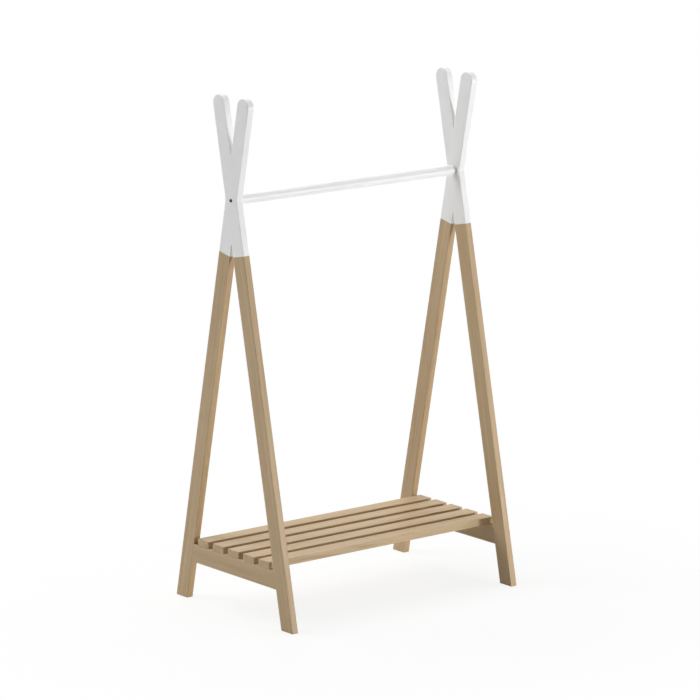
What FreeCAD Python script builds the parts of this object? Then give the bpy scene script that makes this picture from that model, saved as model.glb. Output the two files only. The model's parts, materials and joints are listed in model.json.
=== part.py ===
import FreeCAD, Part
import Sketcher
import math
import os
import re

# A child's clothes rack, in millimetres. X runs along the rod, -Y is the front, Z is up.
# Each end frame is two flat legs, half-lapped into an X and bolted through the crossing
# into the rod. A rail between the legs of each frame carries a low shelf of slats.

# Driving dimensions, and degrees where the name says angle
SIZES = {
    # End frames
    "crossing_height": 1040,      # floor to the middle of the crossing
    "lean_angle": 11.7,           # each leg away from the upright
    "tip_reach": 260,             # crossing to the end of the rounded tip, along the leg
    "rack_length": 722,           # outer face to outer face of the two frames
    "leg_width": 44,
    "leg_thickness": 18,
    "edge_bevel": 1.2,            # eased edges of legs, rails and slats
    # Shelf
    "rail_bottom": 99,            # floor to the underside of a rail
    "rail_height": 46,
    "slat_count": 5,
    "slat_width": 44,
    "slat_thickness": 18,
    "slat_side_gap": 13,          # outer slat to the leg beside it, at the slat's top
    # Hanging rod and its bolts
    "rod_diameter": 25,
    "rod_end_bevel": 1,
    "bolt_diameter": 5,
    "bolt_head_diameter": 8.5,
    "bolt_head_height": 2.75,
    "bolt_rim_height": 0.8,       # upright rim below the head's sloping crown
    "bolt_crown_diameter": 5.2,   # flat top of the crown
    "bolt_hole_gap": 0.25,        # all round the shank
    "bolt_past_insert": 1.5,      # length of shank beyond the threaded insert
    "bolt_tip_room": 2,           # free depth beyond the shank's end
    "key_size": 3,                # across the flats of the head's socket
    "key_depth": 1.6,
    "insert_diameter": 8,
    "insert_length": 16,
    "insert_sink": 0.5,           # insert below the rod's end face
    "thread_gap": 0.02,           # all round the shank inside the insert
    # Dowels from the rails sideways into the legs, and up into the slats
    "rail_dowel_diameter": 8,
    "rail_dowel_length": 35,
    "rail_dowel_spacing": 22,
    "slat_dowel_diameter": 6,
    "slat_dowel_length": 30,
    "slat_dowel_bite": 11,        # length of dowel in the slat
    "dowel_end_room": 1,
    "glue_gap": 0.05,             # all round dowels and inserts
}

LEFT, RIGHT = -1, 1
FRONT, BACK = -1, 1
SIDE_NAMES = {LEFT: "left", RIGHT: "right"}
LEAN_NAMES = {FRONT: "front", BACK: "back"}
PAIR = (-0.5, 0.5)
FLAT = 1e-6

# Heights and places worked out from the driving dimensions, as formulas
FRAME_X = "(rack_length / 2 - leg_thickness / 2)"
ROD_HALF = "(rack_length / 2 - leg_thickness)"
TIP_CENTRE = "(tip_reach - leg_width / 2)"
FOOT_MIDDLE = "(-crossing_height / cos(lean_angle))"
FOOT_SLOPE = "(leg_width / 2 * tan(lean_angle))"
LAP_REACH = "(leg_width / sin(2 * lean_angle))"
RAIL_MIDDLE = "(rail_bottom + rail_height / 2)"
RAIL_TOP = "(rail_bottom + rail_height)"
SLAT_TOP = "(rail_bottom + rail_height + slat_thickness)"
JOINT_DROP = f"(({RAIL_MIDDLE} - crossing_height + leg_width / 2 * sin(lean_angle)) / cos(lean_angle))"
INSERT_DEPTH = "(insert_sink + insert_length)"
BOLT_DEPTH = f"({INSERT_DEPTH} + bolt_past_insert)"
BOLT_LENGTH = f"(leg_thickness + {BOLT_DEPTH})"
HOLE_DEPTH = f"({BOLT_DEPTH} + bolt_tip_room)"
RAIL_DOWEL_HOLE = "(rail_dowel_diameter + 2 * glue_gap)"
RAIL_DOWEL_DEPTH = "(rail_dowel_length / 2 + dowel_end_room)"
SLAT_DOWEL_HOLE = "(slat_dowel_diameter + 2 * glue_gap)"
SLAT_DOWEL_DROP = "(slat_dowel_length - slat_dowel_bite)"


def inner_edge(height):
    """Distance from the middle to a leg's inner edge, at a height below the crossing."""
    return f"((crossing_height - {height}) * tan(lean_angle) - leg_width / 2 / cos(lean_angle))"


RAIL_REACH = inner_edge(RAIL_MIDDLE)
SLAT_SPAN = f"(2 * ({inner_edge(SLAT_TOP)} - slat_side_gap) - slat_width)"
SLAT_PITCH = f"({SLAT_SPAN} / (slat_count - 1))"

doc = FreeCAD.newDocument("clothes_rack")
sheet = doc.addObject("Spreadsheet::Sheet", "Sizes")
for row, (size_name, value) in enumerate(SIZES.items(), start=1):
    sheet.set(f"A{row}", size_name)
    sheet.set(f"B{row}", str(value))
    sheet.setAlias(f"B{row}", size_name)
doc.recompute()


def in_cells(formula):
    """The formula with each size name turned into a reference to its cell."""
    return re.sub(r"[a-z]+_[a-z_]+", lambda word: f"Sizes.{word.group()}", formula)


def bind(item, path, formula):
    item.setExpression(path, in_cells(formula))


def new_body(label, x="0", y="0", z="0", turn=None, axis=(1, 0, 0)):
    """An empty body at a place given by formulas, turned about an axis through it."""
    body = doc.addObject("PartDesign::Body", label)
    body.Label = label
    if turn is not None:
        body.Placement.Rotation = FreeCAD.Rotation(FreeCAD.Vector(*axis), 1)
        bind(body, "Placement.Rotation.Angle", turn)
    bind(body, "Placement.Base.x", x)
    bind(body, "Placement.Base.y", y)
    bind(body, "Placement.Base.z", z)
    return body


def origin_part(body, role):
    return next(item for item in body.Origin.OriginFeatures if item.Role == role)


def attach(item, body, role, at=("0", "0", "0"), turn=None, axis=(1, 0, 0)):
    """Seat a sketch or cutter on an origin plane, shifted and turned in that plane's own frame."""
    item.AttachmentSupport = [(origin_part(body, role), "")]
    item.MapMode = "FlatFace"
    if turn is not None:
        start_turn = FreeCAD.Rotation(FreeCAD.Vector(*axis), 1)
        item.AttachmentOffset = FreeCAD.Placement(FreeCAD.Vector(), start_turn)
        bind(item, "AttachmentOffset.Rotation.Angle", turn)
    for letter, formula in zip("xyz", at):
        bind(item, f"AttachmentOffset.Base.{letter}", formula)


def new_sketch(body, name, role, **seat):
    sketch = body.newObject("Sketcher::SketchObject", f"{body.Name}_{name}")
    attach(sketch, body, role, **seat)
    return sketch


def dimension(sketch, formula, kind, *geometry, start=1):
    """A driving constraint with a starting value, bound to a formula."""
    index = sketch.addConstraint(Sketcher.Constraint(kind, *geometry, float(start)))
    bind(sketch, f"Constraints[{index}]", formula)


def pin(sketch, curve, end, x, y):
    """Fix one point of a curve at a place in the sketch."""
    dimension(sketch, x, "DistanceX", -1, 1, curve, end)
    dimension(sketch, y, "DistanceY", -1, 1, curve, end)


def draw_outline(sketch, corners):
    """A closed outline of straight edges, each corner pinned by its pair of formulas."""
    count = len(corners)
    turns = [2 * math.pi * index / count for index in range(count)]
    start = [FreeCAD.Vector(math.cos(angle), math.sin(angle), 0) for angle in turns]
    for index in range(count):
        sketch.addGeometry(Part.LineSegment(start[index], start[(index + 1) % count]), False)
    for index in range(count):
        sketch.addConstraint(Sketcher.Constraint("Coincident", index, 2, (index + 1) % count, 1))
    for index, (x, y) in enumerate(corners):
        pin(sketch, index, 1, x, y)


def box_corners(half_width, half_height):
    """The corners of a rectangle about the sketch's origin."""
    signs = ((-1, -1), (1, -1), (1, 1), (-1, 1))
    return [(f"{across} * {half_width}", f"{up} * {half_height}") for across, up in signs]


def pad_both_ways(body, sketch, length):
    pad = body.newObject("PartDesign::Pad", f"{body.Name}_pad")
    pad.Profile = sketch
    pad.SideType = "Symmetric"
    bind(pad, "Length", length)
    doc.recompute()
    return pad


def ease(body, feature, chosen):
    """Bevel the feature's edges that the test picks out."""
    bevel = body.newObject("PartDesign::Chamfer", f"{body.Name}_eased")
    picked = [f"Edge{index}" for index, edge in enumerate(feature.Shape.Edges, 1) if chosen(edge)]
    bevel.Base = (feature, picked)
    bind(bevel, "Size", "edge_bevel")


def lies_across_x(edge):
    return edge.BoundBox.XLength < FLAT


def drill(body, name, role, diameter, depth, **seat):
    """A round hole along the normal of an origin plane, turned about that plane's X where asked."""
    hole = body.newObject("PartDesign::SubtractiveCylinder", f"{body.Name}_{name}")
    attach(hole, body, role, **seat)
    bind(hole, "Radius", f"{diameter} / 2")
    bind(hole, "Height", depth)
    return hole


def turned(body, role, spin_axis, corners, **seat):
    """A solid of revolution of a half section about one axis of its sketch."""
    sketch = new_sketch(body, "half_section", role, **seat)
    draw_outline(sketch, corners)
    solid = body.newObject("PartDesign::Revolution", f"{body.Name}_turned")
    solid.Profile = sketch
    solid.ReferenceAxis = (sketch, [spin_axis])
    solid.Angle = 360
    doc.recompute()
    return solid


def repeat_along_y(body, feature, length, count):
    row_of_copies = body.newObject("PartDesign::LinearPattern", f"{body.Name}_row")
    row_of_copies.Originals = [feature]
    row_of_copies.Direction = (origin_part(body, "Y_Axis"), [""])
    bind(row_of_copies, "Length", length)
    bind(row_of_copies, "Occurrences", count)
    body.Tip = row_of_copies


def draw_leg_outline(sketch, lean):
    """A straight bar about the sketch's upright axis: level foot, half-round tip."""
    foot, inner, tip, outer = range(4)
    half, low = SIZES["leg_width"] / 2, -SIZES["crossing_height"]
    high = SIZES["tip_reach"] - half
    left_low, right_low = FreeCAD.Vector(-half, low, 0), FreeCAD.Vector(half, low, 0)
    left_high, right_high = FreeCAD.Vector(-half, high, 0), FreeCAD.Vector(half, high, 0)
    tip_circle = Part.Circle(FreeCAD.Vector(0, high, 0), FreeCAD.Vector(0, 0, 1), half)
    sketch.addGeometry(Part.LineSegment(left_low, right_low), False)
    sketch.addGeometry(Part.LineSegment(right_low, right_high), False)
    sketch.addGeometry(Part.ArcOfCircle(tip_circle, 0, math.pi), False)
    sketch.addGeometry(Part.LineSegment(left_high, left_low), False)
    sketch.addConstraint(Sketcher.Constraint("Coincident", foot, 2, inner, 1))
    sketch.addConstraint(Sketcher.Constraint("Coincident", outer, 2, foot, 1))
    sketch.addConstraint(Sketcher.Constraint("Tangent", inner, 2, tip, 1))
    sketch.addConstraint(Sketcher.Constraint("Tangent", tip, 2, outer, 1))
    sketch.addConstraint(Sketcher.Constraint("Vertical", inner))
    sketch.addConstraint(Sketcher.Constraint("Vertical", outer))
    sketch.addConstraint(Sketcher.Constraint("PointOnObject", tip, 3, -2))
    dimension(sketch, TIP_CENTRE, "DistanceY", -1, 1, tip, 3, start=high)
    dimension(sketch, "leg_width / 2", "Radius", tip, start=half)
    for corner, slope in ((1, lean), (2, -lean)):
        corner_height = f"{FOOT_MIDDLE} + {slope} * {FOOT_SLOPE}"
        dimension(sketch, corner_height, "DistanceY", -1, 1, foot, corner, start=low)


def make_leg(side, lean):
    """One leg. Its own Z runs up the bar from the crossing. The front leg laps outside the back one."""
    label = f"{SIDE_NAMES[side]}_{LEAN_NAMES[lean]}_leg"
    body = new_body(label, x=f"{side} * {FRAME_X}", z="crossing_height", turn=f"{lean} * lean_angle")
    outline = new_sketch(body, "outline", "YZ_Plane")
    draw_leg_outline(outline, lean)
    bar = pad_both_ways(body, outline, "leg_thickness")
    ease(body, bar, lambda edge: lies_across_x(edge) and edge.BoundBox.ZMax > 0)

    other_leg = f"{-2 * lean} * lean_angle"
    lap_outline = new_sketch(body, "lap_outline", "YZ_Plane", turn=other_leg, axis=(0, 0, 1))
    draw_outline(lap_outline, box_corners("leg_width / 2", LAP_REACH))
    lap = body.newObject("PartDesign::Pocket", f"{label}_lap")
    lap.Profile = lap_outline
    lap.Reversed = lean * side > 0
    bind(lap, "Length", "leg_thickness / 2")

    bolt_hole = "(bolt_diameter + 2 * bolt_hole_gap)"
    drill(body, "bolt_hole", "YZ_Plane", bolt_hole, "leg_thickness", at=("0", "0", "-leg_thickness / 2"))
    for step in PAIR:
        place = ("0", f"{-lean} * leg_width / 2", f"{JOINT_DROP} + {step} * rail_dowel_spacing")
        turn = f"{-90 * lean}"
        drill(body, "dowel_hole", "XY_Plane", RAIL_DOWEL_HOLE, RAIL_DOWEL_DEPTH, at=place, turn=turn)


def make_rail(side):
    """A rail between the legs of one frame, its ends cut to the legs' lean."""
    body = new_body(f"{SIDE_NAMES[side]}_shelf_rail", x=f"{side} * {FRAME_X}", z=RAIL_MIDDLE)
    end_slope = "(rail_height / 2 * tan(lean_angle))"
    outline = new_sketch(body, "outline", "YZ_Plane")
    draw_outline(outline, [
        (f"-{RAIL_REACH} - {end_slope}", "-rail_height / 2"),
        (f"{RAIL_REACH} + {end_slope}", "-rail_height / 2"),
        (f"{RAIL_REACH} - {end_slope}", "rail_height / 2"),
        (f"-{RAIL_REACH} + {end_slope}", "rail_height / 2"),
    ])
    bar = pad_both_ways(body, outline, "leg_thickness")
    ease(body, bar, lambda edge: lies_across_x(edge) and edge.BoundBox.ZLength < FLAT)

    for end in (FRONT, BACK):
        for step in PAIR:
            along = f"({step} * rail_dowel_spacing)"
            place = ("0", f"{end} * ({RAIL_REACH} - {along} * sin(lean_angle))", f"{along} * cos(lean_angle)")
            turn = f"{end} * (90 + lean_angle)"
            drill(body, "dowel_hole", "XY_Plane", RAIL_DOWEL_HOLE, RAIL_DOWEL_DEPTH, at=place, turn=turn)

    hole_depth = f"({SLAT_DOWEL_DROP} + dowel_end_room)"
    first_place = ("0", f"-{SLAT_SPAN} / 2", f"rail_height / 2 - {hole_depth}")
    first_hole = drill(body, "slat_dowel_hole", "XY_Plane", SLAT_DOWEL_HOLE, hole_depth, at=first_place)
    repeat_along_y(body, first_hole, SLAT_SPAN, "slat_count")


def make_slat(number):
    """One slat, counted from the front, with a blind dowel hole in its underside over each rail."""
    place = f"({number} - (slat_count + 1) / 2) * {SLAT_PITCH}"
    body = new_body(f"shelf_slat_{number}", y=place, z=f"{RAIL_TOP} + slat_thickness / 2")
    outline = new_sketch(body, "outline", "YZ_Plane")
    draw_outline(outline, box_corners("slat_width / 2", "slat_thickness / 2"))
    bar = pad_both_ways(body, outline, "rack_length")
    ease(body, bar, lambda edge: True)
    for side in (LEFT, RIGHT):
        place = (f"{side} * {FRAME_X}", "0", "-slat_thickness / 2")
        drill(body, "dowel_hole", "XY_Plane", SLAT_DOWEL_HOLE, "slat_dowel_bite + dowel_end_room", at=place)


def make_rod():
    """The hanging rod, with a hole in each end for an insert and the bolt's tip."""
    body = new_body("hanging_rod", z="crossing_height")
    hole_radius = "(insert_diameter / 2 + glue_gap)"
    right_end = [
        (f"({ROD_HALF} - rod_end_bevel)", "rod_diameter / 2"),
        (ROD_HALF, "rod_diameter / 2 - rod_end_bevel"),
        (ROD_HALF, hole_radius),
        (f"({ROD_HALF} - {HOLE_DEPTH})", hole_radius),
        (f"({ROD_HALF} - {HOLE_DEPTH})", "0"),
    ]
    left_end = [(f"-{along}", radius) for along, radius in reversed(right_end)]
    turned(body, "XZ_Plane", "H_Axis", right_end + left_end)


def make_insert(side):
    """A threaded sleeve just below the rod's end face."""
    start = {LEFT: f"-{ROD_HALF} + insert_sink", RIGHT: f"{ROD_HALF} - {INSERT_DEPTH}"}[side]
    body = new_body(f"{SIDE_NAMES[side]}_rod_insert", x=start, z="crossing_height")
    bore, outside = "(bolt_diameter / 2 + thread_gap)", "insert_diameter / 2"
    corners = [("0", bore), ("insert_length", bore), ("insert_length", outside), ("0", outside)]
    turned(body, "XZ_Plane", "H_Axis", corners)


def make_bolt(side):
    """A button-headed socket bolt. Its own X runs from the leg's outer face in towards the rod."""
    seat = f"{side} * rack_length / 2"
    half_turn = {LEFT: "0", RIGHT: "180"}[side]
    label = f"{SIDE_NAMES[side]}_crossing_bolt"
    body = new_body(label, x=seat, z="crossing_height", turn=half_turn, axis=(0, 0, 1))
    turned(body, "XZ_Plane", "H_Axis", [
        ("-bolt_head_height", "0"),
        (BOLT_LENGTH, "0"),
        (BOLT_LENGTH, "bolt_diameter / 2"),
        ("0", "bolt_diameter / 2"),
        ("0", "bolt_head_diameter / 2"),
        ("-bolt_rim_height", "bolt_head_diameter / 2"),
        ("-bolt_head_height", "bolt_crown_diameter / 2"),
    ])
    socket_outline = new_sketch(body, "socket_outline", "YZ_Plane", at=("0", "0", "-bolt_head_height"))
    key_radius = "key_size / sqrt(3)"
    key_turns = range(0, 360, 60)
    key_corners = [(f"{key_radius} * cos({turn})", f"{key_radius} * sin({turn})") for turn in key_turns]
    draw_outline(socket_outline, key_corners)
    socket = body.newObject("PartDesign::Pocket", f"{label}_socket")
    socket.Profile = socket_outline
    socket.Reversed = True
    bind(socket, "Length", "key_depth")


def make_rail_dowels(side, end):
    """The pair of dowels across one joint. Their own Z runs into the rail, square to the leg's edge."""
    label = f"{SIDE_NAMES[side]}_{LEAN_NAMES[end]}_rail_dowels"
    joint = {"x": f"{side} * {FRAME_X}", "y": f"{end} * {RAIL_REACH}", "z": RAIL_MIDDLE}
    body = new_body(label, turn=f"{end} * (90 + lean_angle)", **joint)
    first_place = {"at": ("0", "0", "rail_dowel_spacing / 2")}
    dowel = turned(body, "XZ_Plane", "V_Axis", [
        ("0", "-rail_dowel_length / 2"),
        ("rail_dowel_diameter / 2", "-rail_dowel_length / 2"),
        ("rail_dowel_diameter / 2", "rail_dowel_length / 2"),
        ("0", "rail_dowel_length / 2"),
    ], **first_place)
    repeat_along_y(body, dowel, "rail_dowel_spacing", str(len(PAIR)))


def make_slat_dowels(side):
    """The row of dowels from one rail up into the slats. Their own Z runs up from the rail's top."""
    first_place = {"x": f"{side} * {FRAME_X}", "y": f"-{SLAT_SPAN} / 2", "z": RAIL_TOP}
    body = new_body(f"{SIDE_NAMES[side]}_slat_dowels", **first_place)
    dowel = turned(body, "XZ_Plane", "V_Axis", [
        ("0", f"-{SLAT_DOWEL_DROP}"),
        ("slat_dowel_diameter / 2", f"-{SLAT_DOWEL_DROP}"),
        ("slat_dowel_diameter / 2", "slat_dowel_bite"),
        ("0", "slat_dowel_bite"),
    ])
    repeat_along_y(body, dowel, SLAT_SPAN, "slat_count")


make_rod()
for side in (LEFT, RIGHT):
    for lean in (FRONT, BACK):
        make_leg(side, lean)
        make_rail_dowels(side, lean)
    make_rail(side)
    make_slat_dowels(side)
    make_insert(side)
    make_bolt(side)
for number in range(1, SIZES["slat_count"] + 1):
    make_slat(number)
doc.recompute()

# Every feature and every solid is sound before anything is written
failed = [item.Label for item in doc.Objects if {"Invalid", "Error"} & set(item.State)]
if failed:
    raise RuntimeError(f"failed features: {failed}")
sub_parts = [item for item in doc.Objects if item.TypeId == "PartDesign::Body"]
for body in sub_parts:
    if body.Shape.isNull() or not body.Shape.isValid():
        raise RuntimeError(f"no sound solid: {body.Label}")

os.makedirs("parts", exist_ok=True)
for body in sub_parts:
    body.Shape.exportStep(f"parts/{body.Label}.step")
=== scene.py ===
import json
import math

import bmesh
import bpy
import numpy as np
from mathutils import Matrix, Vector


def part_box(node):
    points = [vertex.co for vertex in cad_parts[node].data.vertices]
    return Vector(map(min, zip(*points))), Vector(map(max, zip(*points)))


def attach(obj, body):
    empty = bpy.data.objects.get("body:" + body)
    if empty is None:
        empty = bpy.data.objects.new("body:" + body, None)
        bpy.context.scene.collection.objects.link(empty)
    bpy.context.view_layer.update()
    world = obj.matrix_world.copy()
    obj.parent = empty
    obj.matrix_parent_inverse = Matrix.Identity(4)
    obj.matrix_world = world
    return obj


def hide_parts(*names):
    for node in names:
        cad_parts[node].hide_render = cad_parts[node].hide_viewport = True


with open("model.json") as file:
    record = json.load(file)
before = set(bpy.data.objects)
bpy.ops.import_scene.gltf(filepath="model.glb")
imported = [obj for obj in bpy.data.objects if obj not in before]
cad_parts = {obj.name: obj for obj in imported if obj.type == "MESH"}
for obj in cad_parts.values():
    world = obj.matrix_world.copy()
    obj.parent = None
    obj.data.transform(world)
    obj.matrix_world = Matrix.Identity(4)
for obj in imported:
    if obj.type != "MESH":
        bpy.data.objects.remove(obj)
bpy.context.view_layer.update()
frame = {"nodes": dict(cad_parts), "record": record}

# A child's clothes rack: crossed oak legs dipped in white, a white hanging rod and a slatted oak shelf.
# Lengths are in metres. X runs along the rod, -Y is the front and Z is up.

LEFT, RIGHT = -1, 1
FRONT, BACK = -1, 1
SIDE_NAMES = {LEFT: "left", RIGHT: "right"}
LEAN_NAMES = {FRONT: "front", BACK: "back"}

# Sizes and places taken from the frame
ROD_LOW, ROD_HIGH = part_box("hanging_rod")
LEG_LOW, LEG_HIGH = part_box("left_front_leg")
RAIL_LOW, RAIL_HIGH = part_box("left_shelf_rail")
BOLT_LOW, BOLT_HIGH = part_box("left_crossing_bolt")
MOUNT_PLACES = {mount["name"]: mount["pos_m"] for mount in frame["record"]["mounts"]}
SLAT_NODES = sorted(name for name in frame["nodes"] if name.startswith("shelf_slat_"))
DOWEL_NODES = sorted(name for name in frame["nodes"] if name.endswith("_dowels"))
INSERT_NODES = sorted(name for name in frame["nodes"] if name.endswith("_rod_insert"))

CROSSING_Z = (ROD_LOW.z + ROD_HIGH.z) / 2
FOOT_Y = -MOUNT_PLACES["left_front_foot"][1]
LEAN = math.atan2(FOOT_Y, CROSSING_Z)
LEG_HALF_WIDTH = (-LEG_LOW.y - FOOT_Y) * math.cos(LEAN)
LEG_HALF_THICKNESS = (LEG_HIGH.x - LEG_LOW.x) / 2
FRAME_X = -(LEG_HIGH.x + LEG_LOW.x) / 2
TIP_CENTRE = (LEG_HIGH.z - LEG_HALF_WIDTH - CROSSING_Z) / math.cos(LEAN)
FOOT_ALONG = -CROSSING_Z / math.cos(LEAN)
LAP_REACH = LEG_HALF_WIDTH / math.sin(2 * LEAN)
LAP_SKEW = 1 / math.tan(2 * LEAN)
BOLT_HEAD_RADIUS = (BOLT_HIGH.z - BOLT_LOW.z) / 2
BOLT_LENGTH = BOLT_HIGH.x - BOLT_LOW.x

# Eased edges and rounds
EDGE_RADIUS = 0.0012
EDGE_FADE = 0.004           # length over which an eased edge dies away at the lap
FLAT_STEP = 0.0006          # flat strip beside an eased edge, which keeps the broad faces flat in shading
ARC_POINTS = 5              # points on each eased corner
TIP_STEPS = 14              # sections of a half-round tip
ROUND_POINTS = 64           # points round the rod and the bolts
ROUND_ANGLES = np.linspace(0, 2 * math.pi, ROUND_POINTS, endpoint=False)
MERGE = 1e-6                # points closer than this become one
SHARP_ANGLE = math.radians(35)

# Button-headed bolt
BOLT_HEAD_HEIGHT = 0.00275
BOLT_RIM_HEIGHT = 0.0006
BOLT_SHANK_RADIUS = 0.0025
DOME_STEPS = 9
KEY_HALF_FLATS = 0.0015
KEY_DEPTH = 0.0016
KEY_EASE = 0.0003           # depth of the bevel round the key hole
KEY_MOUTH_RADIUS = 0.0021   # where that bevel meets the dome

# Boards are numbered, and a board's number places it in its log. The slats have the first numbers.
LEG_BOARDS = {(LEFT, FRONT): 5, (LEFT, BACK): 7, (RIGHT, FRONT): 9, (RIGHT, BACK): 11}
RAIL_BOARDS = {LEFT: 12, RIGHT: 14}
HEART_NEAR = 0.045          # least distance from a board to the heart of its log
HEART_STEP = 0.011          # from one distance to the next
HEART_STEPS = 4             # number of distances
HEART_TURN = 2.4            # turn of the heart round the board from one number to the next, in radians


def section_pattern():
    """Points round a rectangle with eased corners, counter-clockwise from the middle of its right side.

    In each direction a point lies at sign * (half size - radius) + radius * arc + step * flat.
    Each corner has an arc of a quarter turn and one point on the flat at either end of it.
    The middle of a narrow side comes before the first and the third corner.
    """
    sign, arc, flat = [], [], []
    for turn, corner in enumerate(((1, 1), (-1, 1), (-1, -1), (1, -1))):
        if turn % 2 == 0:
            middle = (corner[0], 0)
            sign, arc, flat = sign + [middle], arc + [middle], flat + [(0, 0)]
        angles = np.radians(90 * turn + np.linspace(0, 90, ARC_POINTS))
        rays = np.stack([np.cos(angles), np.sin(angles)], axis=1)
        sign += [corner] * (ARC_POINTS + 2)
        arc += [rays[0], *rays, rays[-1]]
        flat += [(rays[0, 1], -rays[0, 0])] + [(0, 0)] * ARC_POINTS + [(-rays[-1, 1], rays[-1, 0])]
    return np.array(sign, float), np.array(arc, float), np.array(flat, float)


SECTION_SIGN, SECTION_ARC, SECTION_FLAT = section_pattern()


def bar_grid(stations, half_width, half_thickness):
    """Sections of a flat bar as (along, across, through) for each station and each point of the section.

    A station is (along, skew, lift, inset, radius, low, high). Its section is the eased rectangle drawn in
    by inset and cut off in thickness at low and high. A point stands at along + skew * across
    + lift * |across|, and across shrinks by the root of 1 - lift squared, so lifts from 0 to 1 sweep a
    half-round tip.
    """
    along, skew, lift, inset, radius, low, high = np.array(stations, float).T[:, :, None]
    across = SECTION_SIGN[:, 0] * (half_width - inset - radius)
    across = across + radius * SECTION_ARC[:, 0] + FLAT_STEP * SECTION_FLAT[:, 0]
    through = SECTION_SIGN[:, 1] * (half_thickness - inset - radius)
    through = through + radius * SECTION_ARC[:, 1] + FLAT_STEP * SECTION_FLAT[:, 1]
    through = np.clip(through, low, high)
    lengthwise = along + skew * across + lift * np.abs(across)
    across = across * np.sqrt(1 - lift ** 2)
    return np.stack([lengthwise, across, through], axis=-1)


def eased_profile(radius):
    """Inset and depth of an eased end, from its flat face inwards.

    The profile is a quarter circle with a point on the flat at each end.
    """
    turns = np.radians(np.linspace(90, 0, ARC_POINTS))
    inset = np.concatenate([[radius + FLAT_STEP], radius * (1 - np.cos(turns)), [0]])
    depth = np.concatenate([[0], radius * (1 - np.sin(turns)), [radius + FLAT_STEP]])
    return inset, depth


def eased_end(end, direction, skew, half_thickness):
    """Stations of a bar's eased end, from its flat face inwards."""
    inset, depth = eased_profile(EDGE_RADIUS)
    radius = np.clip(EDGE_RADIUS - inset, 0, None)
    same = np.ones_like(inset)
    columns = [end - direction * depth, skew * same, 0 * same, inset, radius]
    return np.stack(columns + [-half_thickness * same, half_thickness * same], axis=1).tolist()


def ring_faces(rows, columns):
    """Quads between neighbouring rows of a grid whose columns close on themselves."""
    index = np.arange(rows * columns).reshape(rows, columns)
    after = np.roll(index, -1, axis=1)
    return np.stack([index[:-1], after[:-1], after[1:], index[1:]], axis=-1).reshape(-1, 4).tolist()


def tube_faces(rows, columns):
    """The quads of a closed grid with a flat face over its first and last row."""
    first_row = list(range(columns))
    last_row = list(range((rows - 1) * columns, rows * columns))
    return ring_faces(rows, columns) + [first_row, last_row]


def placed(local, origin, along, across, through):
    """Local (along, across, through) points carried to their place by three unit vectors."""
    return np.array(origin) + local @ np.array([along, across, through], float)


def log_place(local, board):
    """Grain coordinates: along the board as they are, across it measured from the heart of the log.

    The heart lies at a distance and a turn that differ from board to board.
    """
    distance = HEART_NEAR + HEART_STEP * (board % HEART_STEPS)
    turn = HEART_TURN * board
    return local - np.array([0, distance * math.cos(turn), distance * math.sin(turn)])


def new_piece(name, points, faces, grain, node_name, material, narrow=0):
    """A closed piece that stands for a CAD node, its doubled points merged and its faces turned outwards.

    Its points carry their grain coordinates and how far they face out of the board's narrow sides.
    """
    mesh = bpy.data.meshes.new(name)
    mesh.from_pydata(points.reshape(-1, 3).tolist(), [], faces)
    grain_values = mesh.attributes.new("grain", "FLOAT_VECTOR", "POINT").data
    grain_values.foreach_set("vector", np.ascontiguousarray(grain, dtype=np.float32).ravel())
    narrow_values = mesh.attributes.new("narrow", "FLOAT", "POINT").data
    narrow_values.foreach_set("value", np.broadcast_to(np.float32(narrow), points.shape[:2]).ravel())
    shell = bmesh.new()
    shell.from_mesh(mesh)
    bmesh.ops.remove_doubles(shell, verts=shell.verts, dist=MERGE)
    bmesh.ops.dissolve_degenerate(shell, edges=shell.edges, dist=MERGE)
    bmesh.ops.recalc_face_normals(shell, faces=shell.faces)
    shell.to_mesh(mesh)
    shell.free()
    mesh.shade_smooth()
    mesh.set_sharp_from_angle(angle=SHARP_ANGLE)
    mesh.materials.append(material)
    piece = bpy.data.objects.new(name, mesh)
    bpy.context.scene.collection.objects.link(piece)
    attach(piece, "root")
    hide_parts(node_name)


def make_leg(side, lean, finish):
    """A flat bar: level foot, half-lap at the crossing, half-round tip, its edges eased up to the lap.

    The front leg keeps the outer half of its thickness at the lap.
    """
    lap_skew = lean * LAP_SKEW
    keeps_high_half = (side == RIGHT) == (lean == FRONT)
    full = (-LEG_HALF_THICKNESS, LEG_HALF_THICKNESS)
    half = (0, LEG_HALF_THICKNESS) if keeps_high_half else (-LEG_HALF_THICKNESS, 0)
    stations = eased_end(FOOT_ALONG, -1, -lean * math.tan(LEAN), LEG_HALF_THICKNESS)
    stations += [
        (-LAP_REACH - EDGE_FADE, lap_skew, 0, 0, EDGE_RADIUS, *full),
        (-LAP_REACH, lap_skew, 0, 0, 0, *full),
        (-LAP_REACH, lap_skew, 0, 0, 0, *half),
        (LAP_REACH, lap_skew, 0, 0, 0, *half),
        (LAP_REACH, lap_skew, 0, 0, 0, *full),
        (LAP_REACH + EDGE_FADE, lap_skew, 0, 0, EDGE_RADIUS, *full),
    ]
    lifts = np.sin(np.radians(np.linspace(0, 90, TIP_STEPS)))
    stations += [(TIP_CENTRE, 0, lift, 0, EDGE_RADIUS, *full) for lift in lifts]
    local = bar_grid(stations, LEG_HALF_WIDTH, LEG_HALF_THICKNESS)
    rows, columns = local.shape[:2]
    faces = ring_faces(rows, columns) + [list(range(columns))]
    up_leg = (0, -lean * math.sin(LEAN), math.cos(LEAN))
    across_leg = (0, math.cos(LEAN), lean * math.sin(LEAN))
    points = placed(local, (side * FRAME_X, 0, CROSSING_Z), up_leg, across_leg, (1, 0, 0))
    grain = log_place(local, LEG_BOARDS[side, lean])
    # 1 on the narrow sides, where the dipped finish paints shade, 0 on the broad faces
    narrow = SECTION_ARC[:, 0] ** 2
    name = f"{SIDE_NAMES[side]}_{LEAN_NAMES[lean]}_leg"
    new_piece(f"eased_{name}", points, faces, grain, name, finish, narrow)


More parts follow.
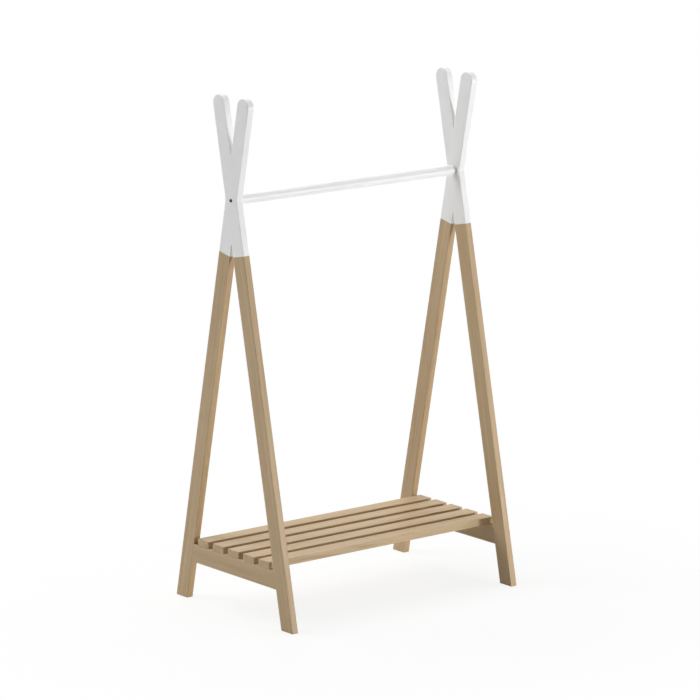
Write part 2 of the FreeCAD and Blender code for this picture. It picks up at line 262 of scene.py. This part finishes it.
def make_rail(side, finish):
    """A flat bar between the legs, its ends cut to their lean."""
    middle_z = (RAIL_LOW.z + RAIL_HIGH.z) / 2
    half_height = (RAIL_HIGH.z - RAIL_LOW.z) / 2
    reach = RAIL_HIGH.y - half_height * math.tan(LEAN)
    limits = (-LEG_HALF_THICKNESS, LEG_HALF_THICKNESS)
    stations = [(end * reach, -end * math.tan(LEAN), 0, 0, EDGE_RADIUS, *limits) for end in (FRONT, BACK)]
    local = bar_grid(stations, half_height, LEG_HALF_THICKNESS)
    points = placed(local, (side * FRAME_X, 0, middle_z), (0, 1, 0), (0, 0, 1), (1, 0, 0))
    faces = tube_faces(*local.shape[:2])
    grain = log_place(local, RAIL_BOARDS[side])
    name = f"{SIDE_NAMES[side]}_shelf_rail"
    new_piece(f"eased_{name}", points, faces, grain, name, finish)


def make_slat(name, board, finish):
    """A flat bar with all its edges eased."""
    low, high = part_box(name)
    half = (high - low) / 2
    left_end = eased_end(-half.x, -1, 0, half.z)
    right_end = eased_end(half.x, 1, 0, half.z)
    local = bar_grid(left_end + right_end[::-1], half.y, half.z)
    points = placed(local, (low + high) / 2, (1, 0, 0), (0, 1, 0), (0, 0, 1))
    faces = tube_faces(*local.shape[:2])
    grain = log_place(local, board)
    new_piece(f"eased_{name}", points, faces, grain, name, finish)


def turned_grid(along, radius):
    """Rows of (along, radius) turned about the axis; radius may differ round the turn."""
    along, radius = np.broadcast_arrays(along, radius + 0 * ROUND_ANGLES)
    return np.stack([along, radius * np.cos(ROUND_ANGLES), radius * np.sin(ROUND_ANGLES)], axis=-1)


def make_rod(finish):
    """A round rod with eased ends: a profile of straight runs and quarter circles turned about X."""
    inset, depth = eased_profile(EDGE_RADIUS)
    radius = (ROD_HIGH.z - ROD_LOW.z) / 2 - np.concatenate([inset, inset[::-1]])
    along = np.concatenate([ROD_LOW.x + depth, (ROD_HIGH.x - depth)[::-1]])
    local = turned_grid(along[:, None], radius[:, None])
    points = local + np.array([0, 0, CROSSING_Z])
    faces = tube_faces(*local.shape[:2])
    new_piece("painted_rod", points, faces, local, "hanging_rod", finish)


def make_bolt(side, finish):
    """A domed round head with a six-sided key hole, and its shank: rings of (depth, radius) along the axis.

    The dome is a quarter ellipse from the rim to the key hole. The key hole's radius at an angle is half
    its flats over the cosine of the angle from the nearest flat. The first ring has no radius and is the
    middle of the key hole's floor.
    """
    from_flat = (ROUND_ANGLES + math.pi / 6) % (math.pi / 3) - math.pi / 6
    key_hole = KEY_HALF_FLATS / np.cos(from_flat)
    turns = np.linspace(math.acos(KEY_MOUTH_RADIUS / BOLT_HEAD_RADIUS), 0, DOME_STEPS)
    crown = BOLT_HEAD_HEIGHT - BOLT_RIM_HEIGHT
    dome_depth = crown * (np.sin(turns[0]) - np.sin(turns)) / np.sin(turns[0])
    rounds = np.concatenate([BOLT_HEAD_RADIUS * np.cos(turns), [BOLT_HEAD_RADIUS], [BOLT_SHANK_RADIUS] * 2])
    round_depths = np.concatenate([dome_depth, [BOLT_HEAD_HEIGHT] * 2, [BOLT_LENGTH]])
    key_rows = np.stack([0 * key_hole, key_hole, key_hole])
    radius = np.concatenate([key_rows, np.repeat(rounds[:, None], ROUND_POINTS, axis=1)])
    depths = np.concatenate([[KEY_DEPTH, KEY_DEPTH, KEY_EASE], round_depths])
    local = turned_grid(depths[:, None], radius)
    points = local * np.array([-side, 1, 1]) + np.array([-side * BOLT_LOW.x, 0, CROSSING_Z])
    faces = tube_faces(*local.shape[:2])
    name = f"{SIDE_NAMES[side]}_crossing_bolt"
    new_piece(f"button_{name}", points, faces, local, name, finish)


def new_node(tree, kind, inputs=None, **settings):
    """A shader node with its settings, and with inputs that are values or other nodes' outputs."""
    made = tree.nodes.new(kind)
    for key, value in settings.items():
        setattr(made, key, value)
    for key, value in (inputs or {}).items():
        if isinstance(value, bpy.types.NodeSocket):
            tree.links.new(value, made.inputs[key])
        else:
            made.inputs[key].default_value = value
    return made


def worked(tree, operation, *values):
    """One step of arithmetic on sockets and numbers."""
    return new_node(tree, "ShaderNodeMath", dict(enumerate(values)), operation=operation).outputs[0]


def summed(tree, start, *terms):
    """The start plus value * share for each term of (value, share)."""
    total = start
    for value, share in terms:
        total = worked(tree, "MULTIPLY_ADD", value, share, total)
    return total


def stretched_noise(tree, place, scale, detail):
    """Noise whose grains are longer the smaller the scale is in a direction."""
    spread = new_node(tree, "ShaderNodeMapping", {"Vector": place, "Scale": scale}).outputs[0]
    sockets = {"Vector": spread, "Scale": 1, "Detail": detail}
    return new_node(tree, "ShaderNodeTexNoise", sockets).outputs["Fac"]


def length_of(tree, vector):
    """The length of a vector."""
    return new_node(tree, "ShaderNodeVectorMath", {0: vector}, operation="LENGTH").outputs["Value"]


def stepped(tree, value, low, high):
    """A smooth step from 0 at low to 1 at high."""
    sockets = {"Value": value, "From Min": low, "From Max": high}
    return new_node(tree, "ShaderNodeMapRange", sockets, interpolation_type="SMOOTHSTEP").outputs[0]


def ramp(tree, value, stops):
    """A colour ramp through stops of (place, colour)."""
    made = new_node(tree, "ShaderNodeValToRGB", {"Fac": value})
    made.color_ramp.interpolation = "EASE"
    while len(made.color_ramp.elements) < len(stops):
        made.color_ramp.elements.new(0.5)
    for element, (place, colour) in zip(made.color_ramp.elements, stops):
        element.position = place
        element.color = (*colour, 1)
    return made.outputs["Color"]


# Numbers of the two inputs and the output of a mix node
MIX_SOCKETS = {"RGBA": (6, 7, 2), "FLOAT": (2, 3, 0)}


def mixed(tree, kind, factor, first, second, blend="MIX"):
    """A mix of two colours or two numbers."""
    first_input, second_input, output = MIX_SOCKETS[kind]
    sockets = {0: factor, first_input: first, second_input: second}
    return new_node(tree, "ShaderNodeMix", sockets, data_type=kind, blend_type=blend).outputs[output]


def grain_of(tree):
    """The piece's own grain coordinates."""
    return new_node(tree, "ShaderNodeAttribute", attribute_name="grain").outputs["Vector"]


def own_place(tree):
    """A point's place in the coordinates of its object."""
    return new_node(tree, "ShaderNodeTexCoord").outputs["Object"]


def new_material(name):
    """A material and its node tree, still empty."""
    material = bpy.data.materials.new(name)
    material.use_nodes = True
    material.node_tree.nodes.clear()
    return material, material.node_tree


def finish_shader(tree, height, bump, **sockets):
    """A principled surface with a bump from the height, joined to the output."""
    normal = new_node(tree, "ShaderNodeBump", {"Height": height, "Strength": 1, "Distance": bump}).outputs[0]
    inputs = {key.replace("_", " "): value for key, value in sockets.items()}
    shader = new_node(tree, "ShaderNodeBsdfPrincipled", {**inputs, "Normal": normal})
    new_node(tree, "ShaderNodeOutputMaterial", {"Surface": shader.outputs[0]})


# Pale oak. A noise is its scale along, across and through the wood, per metre, and its detail.
OAK_LIGHT = (0.575, 0.426, 0.251)
OAK_MIDDLE = (0.496, 0.355, 0.200)
OAK_DARK = (0.369, 0.247, 0.125)
OAK_STOPS = ((0.15, OAK_LIGHT), (0.5, OAK_MIDDLE), (0.9, OAK_DARK))
# Painted shade: a darker, warmer tint multiplied into the oak on the legs' narrow sides
NARROW_SHADE_TINT = (0.930, 0.885, 0.800, 1)
BEND_NOISE = ((1.4, 12, 12), 2)
STREAK_NOISE = ((2.2, 95, 95), 2)
FIBRE_NOISE = ((8, 420, 420), 3)
PORE_NOISE = ((30, 1300, 1300), 1)
RING_STEP = 0.0034          # from one ring of the log to the next
RING_BEND = 0.016           # how far the slow noise moves the rings
BAND_STOPS = ((0, (1, 1, 1)), (0.34, (0.2, 0.2, 0.2)), (0.86, (0, 0, 0)), (1, (1, 1, 1)))
SHADE_START = -0.24
FIBRE_SHADE = 0.62
BAND_SHADE = 0.20
STREAK_SHADE = 0.75
PORE_PEAKS = (0.60, 0.72)   # noise at which a pore begins, and at which it is full
PORES_BETWEEN = 0.3         # strength of the pores between the porous bands
PORE_SHADE = 0.5
OAK_ROUGHNESS = 0.42
OAK_ROUGHNESS_RANGE = 0.16
FIBRE_HEIGHT = 0.5
PORE_HEIGHT = -0.8
WOOD_BUMP = 0.00012         # what a height of 1 stands for, on oak and on paint


def oak(tree, grain):
    """Colour, roughness and height of pale oak at the grain coordinates.

    Rings lie at equal steps of distance from the heart of the log, bent by slow noise along the board, and
    each starts with a darker porous band. Fibres are noise drawn out along the board. Pores are the peaks
    of a finer noise of the same kind, most of them in the porous bands.
    """
    bend = stretched_noise(tree, grain, *BEND_NOISE)
    streak = stretched_noise(tree, grain, *STREAK_NOISE)
    fibre = stretched_noise(tree, grain, *FIBRE_NOISE)
    pore_noise = stretched_noise(tree, grain, *PORE_NOISE)
    section = new_node(tree, "ShaderNodeMapping", {"Vector": grain, "Scale": (0, 1, 1)}).outputs[0]
    bent_distance = summed(tree, length_of(tree, section), (bend, RING_BEND))
    phase = worked(tree, "FRACT", worked(tree, "DIVIDE", bent_distance, RING_STEP))
    band = ramp(tree, phase, BAND_STOPS)
    shade = summed(tree, SHADE_START, (fibre, FIBRE_SHADE), (band, BAND_SHADE), (streak, STREAK_SHADE))
    peaks = stepped(tree, pore_noise, *PORE_PEAKS)
    strength = summed(tree, PORES_BETWEEN, (band, 1 - PORES_BETWEEN))
    pores = worked(tree, "MULTIPLY", peaks, strength)
    pore_shade = worked(tree, "MULTIPLY", pores, PORE_SHADE)
    colour = mixed(tree, "RGBA", pore_shade, ramp(tree, shade, OAK_STOPS), (*OAK_DARK, 1))
    roughness = summed(tree, OAK_ROUGHNESS, (shade, OAK_ROUGHNESS_RANGE))
    height = summed(tree, 0, (fibre, FIBRE_HEIGHT), (pores, PORE_HEIGHT))
    return colour, roughness, height


def oak_finish():
    """Pale oak under a clear matt lacquer."""
    material, tree = new_material("pale_oak_lacquer")
    colour, roughness, height = oak(tree, grain_of(tree))
    finish_shader(tree, height, WOOD_BUMP, Base_Color=colour, Roughness=roughness)
    return material


# White satin paint
PAINT_WHITE = (0.896, 0.896, 0.894, 1)
PAINT_BRUSHED = (0.80, 0.80, 0.79, 1)
BRUSH_NOISE = ((6, 260, 260), 2)
STIPPLE_NOISE = ((420, 420, 420), 2)
BRUSH_SHADE = 0.05          # share of the brushed tone in a full brush line
PAINT_ROUGHNESS = 0.30
PAINT_ROUGHNESS_RANGE = 0.16
BRUSH_HEIGHT = 0.5
STIPPLE_HEIGHT = 0.3
PAINT_HEIGHT = 0.9          # of the paint over the wood
PAINT_LINE = -0.138         # along the leg, from the crossing
PAINT_LINE_NOISE = ((40, 160, 160), 1)
PAINT_LINE_WAVER = 0.0008
PAINT_LINE_WIDTH = 0.0006   # over which wood turns to paint


def painted(tree, grain):
    """Colour, roughness and height of brushed satin paint.

    Soft brush lines run along the wood, with a fine stipple over them.
    """
    brush = stretched_noise(tree, grain, *BRUSH_NOISE)
    stipple = stretched_noise(tree, grain, *STIPPLE_NOISE)
    brush_shade = worked(tree, "MULTIPLY", brush, BRUSH_SHADE)
    colour = mixed(tree, "RGBA", brush_shade, PAINT_WHITE, PAINT_BRUSHED)
    roughness = summed(tree, PAINT_ROUGHNESS, (stipple, PAINT_ROUGHNESS_RANGE))
    height = summed(tree, 0, (stipple, STIPPLE_HEIGHT), (brush, BRUSH_HEIGHT))
    return colour, roughness, height


def dipped_oak_finish():
    """Oak below the paint line, with painted shade on its narrow sides, and white satin paint above it.

    The edge between them is slightly uneven.
    """
    material, tree = new_material("pale_oak_dipped_white")
    grain = grain_of(tree)
    oak_colour, oak_roughness, oak_height = oak(tree, grain)
    narrow = new_node(tree, "ShaderNodeAttribute", attribute_name="narrow").outputs["Fac"]
    # Painted shade: the narrow sides are tinted darker and warmer
    oak_colour = mixed(tree, "RGBA", narrow, oak_colour, NARROW_SHADE_TINT, "MULTIPLY")
    paint_colour, paint_roughness, paint_height = painted(tree, grain)
    paint_height = worked(tree, "ADD", paint_height, PAINT_HEIGHT)
    along = new_node(tree, "ShaderNodeSeparateXYZ", {0: grain}).outputs["X"]
    uneven = stretched_noise(tree, grain, *PAINT_LINE_NOISE)
    edge = summed(tree, along, (uneven, PAINT_LINE_WAVER))
    paint = stepped(tree, edge, PAINT_LINE, PAINT_LINE + PAINT_LINE_WIDTH)
    colour = mixed(tree, "RGBA", paint, oak_colour, paint_colour)
    roughness = mixed(tree, "FLOAT", paint, oak_roughness, paint_roughness)
    height = mixed(tree, "FLOAT", paint, oak_height, paint_height)
    finish_shader(tree, height, WOOD_BUMP, Base_Color=colour, Roughness=roughness)
    return material


def rod_paint_finish():
    """White satin paint on the round rod."""
    material, tree = new_material("white_satin_paint")
    colour, roughness, height = painted(tree, grain_of(tree))
    finish_shader(tree, height, WOOD_BUMP, Base_Color=colour, Roughness=roughness)
    return material


def speckled_finish(name, scale, detail, stops, roughness, roughness_range, bump, metallic):
    """A finish whose colour, roughness and height all follow one even noise."""
    material, tree = new_material(name)
    speckle = stretched_noise(tree, own_place(tree), (scale, scale, scale), detail)
    colour = ramp(tree, speckle, stops)
    roughness = summed(tree, roughness, (speckle, roughness_range))
    finish_shader(tree, speckle, bump, Base_Color=colour, Roughness=roughness, Metallic=metallic)
    return material


def bolt_finish():
    """Black oxide on steel: dark, a little cloudy, half glossy."""
    return speckled_finish(
        "black_oxide_steel",
        scale=900,
        detail=3,
        stops=((0.3, (0.022, 0.022, 0.024)), (0.7, (0.055, 0.053, 0.052))),
        roughness=0.28,
        roughness_range=0.25,
        bump=0.00003,
        metallic=0.8,
    )


def insert_finish():
    """Zinc plate on the threaded inserts."""
    return speckled_finish(
        "zinc_plate",
        scale=600,
        detail=3,
        stops=((0.3, (0.50, 0.51, 0.52)), (0.7, (0.66, 0.66, 0.65))),
        roughness=0.22,
        roughness_range=0.3,
        bump=0.00003,
        metallic=1.0,
    )


def dowel_finish():
    """Raw beech on the dowels: fine flecks on a warm ground."""
    return speckled_finish(
        "raw_beech",
        scale=900,
        detail=2,
        stops=((0.35, (0.60, 0.44, 0.28)), (0.7, (0.47, 0.31, 0.18))),
        roughness=0.55,
        roughness_range=0.2,
        bump=0.0001,
        metallic=0.0,
    )


def wear_finish(node_names, material):
    """Gives CAD nodes that stay their finish."""
    for name in node_names:
        materials = frame["nodes"][name].data.materials
        materials.clear()
        materials.append(material)


oak_lacquer = oak_finish()
dipped_oak = dipped_oak_finish()
rod_paint = rod_paint_finish()
bolt_black = bolt_finish()
for board, slat_node in enumerate(SLAT_NODES):
    make_slat(slat_node, board, oak_lacquer)
for side in (LEFT, RIGHT):
    for lean in (FRONT, BACK):
        make_leg(side, lean, dipped_oak)
    make_rail(side, oak_lacquer)
    make_bolt(side, bolt_black)
make_rod(rod_paint)
wear_finish(DOWEL_NODES, dowel_finish())
wear_finish(INSERT_NODES, insert_finish())

# Floor, sky, lamps and camera
FLOOR_REACH = 20.0
FLOOR_WHITE = (0.95, 0.95, 0.95, 1)
SKY_WHITE = (1, 1, 1, 1)
SHADOW_SHARE = 0.14         # how much of its own light the floor shows near the rack, over plain white
SHADOW_FADE = (0.5, 1.4)    # distances from the middle between which that share fades away
LAMP_DISTANCE = 6.0
LAMP_AIM = np.array([0, 0, 0.65])
CAMERA_AZIMUTH = math.radians(-38.668)
CAMERA_ELEVATION = math.radians(12.168)
CAMERA_DISTANCE = 10.684
CAMERA_LENS = 219.72
CAMERA_AIM = np.array([0.00898, 0, 0.6194])

# Each lamp's azimuth and elevation in degrees, its watts and its size
LAMPS = {
    "back_box": (180, 66, 362, 6.5),
    "back_left_box": (-135, 35, 146, 3.0),
    "front_box": (30, -1, 199, 1.0),
    "right_box": (65, 40, 64, 3.0),
}


def seen_directly(tree):
    """1 for rays from the camera and for mirrored or refracted rays, otherwise 0."""
    path = new_node(tree, "ShaderNodeLightPath").outputs
    clear = worked(tree, "MAXIMUM", path["Is Glossy Ray"], path["Is Transmission Ray"])
    return worked(tree, "MAXIMUM", path["Is Camera Ray"], clear)


def make_floor():
    """A wide level sheet, seen as white with a share of its own light near the rack.

    That share keeps the rack's shadow.
    """
    corners = FLOOR_REACH * np.array([(-1, -1, 0), (1, -1, 0), (1, 1, 0), (-1, 1, 0)])
    mesh = bpy.data.meshes.new("floor")
    mesh.from_pydata(corners.tolist(), [], [(0, 1, 2, 3)])
    material, tree = new_material("white_floor")
    far = stepped(tree, length_of(tree, own_place(tree)), *SHADOW_FADE)
    white_share = summed(tree, 1 - SHADOW_SHARE, (far, SHADOW_SHARE))
    lit = new_node(tree, "ShaderNodeBsdfDiffuse", {"Color": FLOOR_WHITE}).outputs[0]
    white = new_node(tree, "ShaderNodeEmission", {"Strength": 1}).outputs[0]
    share = worked(tree, "MULTIPLY", seen_directly(tree), white_share)
    surface = new_node(tree, "ShaderNodeMixShader", {0: share, 1: lit, 2: white}).outputs[0]
    new_node(tree, "ShaderNodeOutputMaterial", {"Surface": surface})
    mesh.materials.append(material)
    floor = bpy.data.objects.new("floor", mesh)
    bpy.context.scene.collection.objects.link(floor)


def make_sky():
    """White where it is seen directly, and no light of its own on the rack."""
    sky = bpy.data.worlds.new("white_sky")
    sky.use_nodes = True
    tree = sky.node_tree
    tree.nodes.clear()
    sockets = {"Color": SKY_WHITE, "Strength": seen_directly(tree)}
    background = new_node(tree, "ShaderNodeBackground", sockets)
    new_node(tree, "ShaderNodeOutputWorld", {"Surface": background.outputs[0]})
    bpy.context.scene.world = sky


def from_angles(azimuth, elevation):
    """Unit vector towards an azimuth, counted from the front to the right, and an elevation."""
    level = math.cos(elevation)
    return np.array([math.sin(azimuth) * level, -math.cos(azimuth) * level, math.sin(elevation)])


def make_lamp(name, azimuth, elevation, watts, size):
    """A square soft box turned towards the middle of the rack."""
    azimuth, elevation = math.radians(azimuth), math.radians(elevation)
    data = bpy.data.lights.new(name, "AREA")
    data.energy = watts
    data.size = size
    lamp = bpy.data.objects.new(name, data)
    lamp.location = LAMP_AIM + LAMP_DISTANCE * from_angles(azimuth, elevation)
    lamp.rotation_euler = (math.pi / 2 - elevation, 0, azimuth)
    bpy.context.scene.collection.objects.link(lamp)


def make_camera():
    """The photograph's viewing angle."""
    data = bpy.data.cameras.new("camera")
    data.lens = CAMERA_LENS
    camera = bpy.data.objects.new("camera", data)
    camera.location = CAMERA_AIM + CAMERA_DISTANCE * from_angles(CAMERA_AZIMUTH, CAMERA_ELEVATION)
    camera.rotation_euler = (math.pi / 2 - CAMERA_ELEVATION, 0, CAMERA_AZIMUTH)
    bpy.context.scene.collection.objects.link(camera)
    bpy.context.scene.camera = camera


make_floor()
make_sky()
for name, lamp in LAMPS.items():
    make_lamp(name, *lamp)
make_camera()
bpy.context.scene.view_settings.view_transform = "Standard"
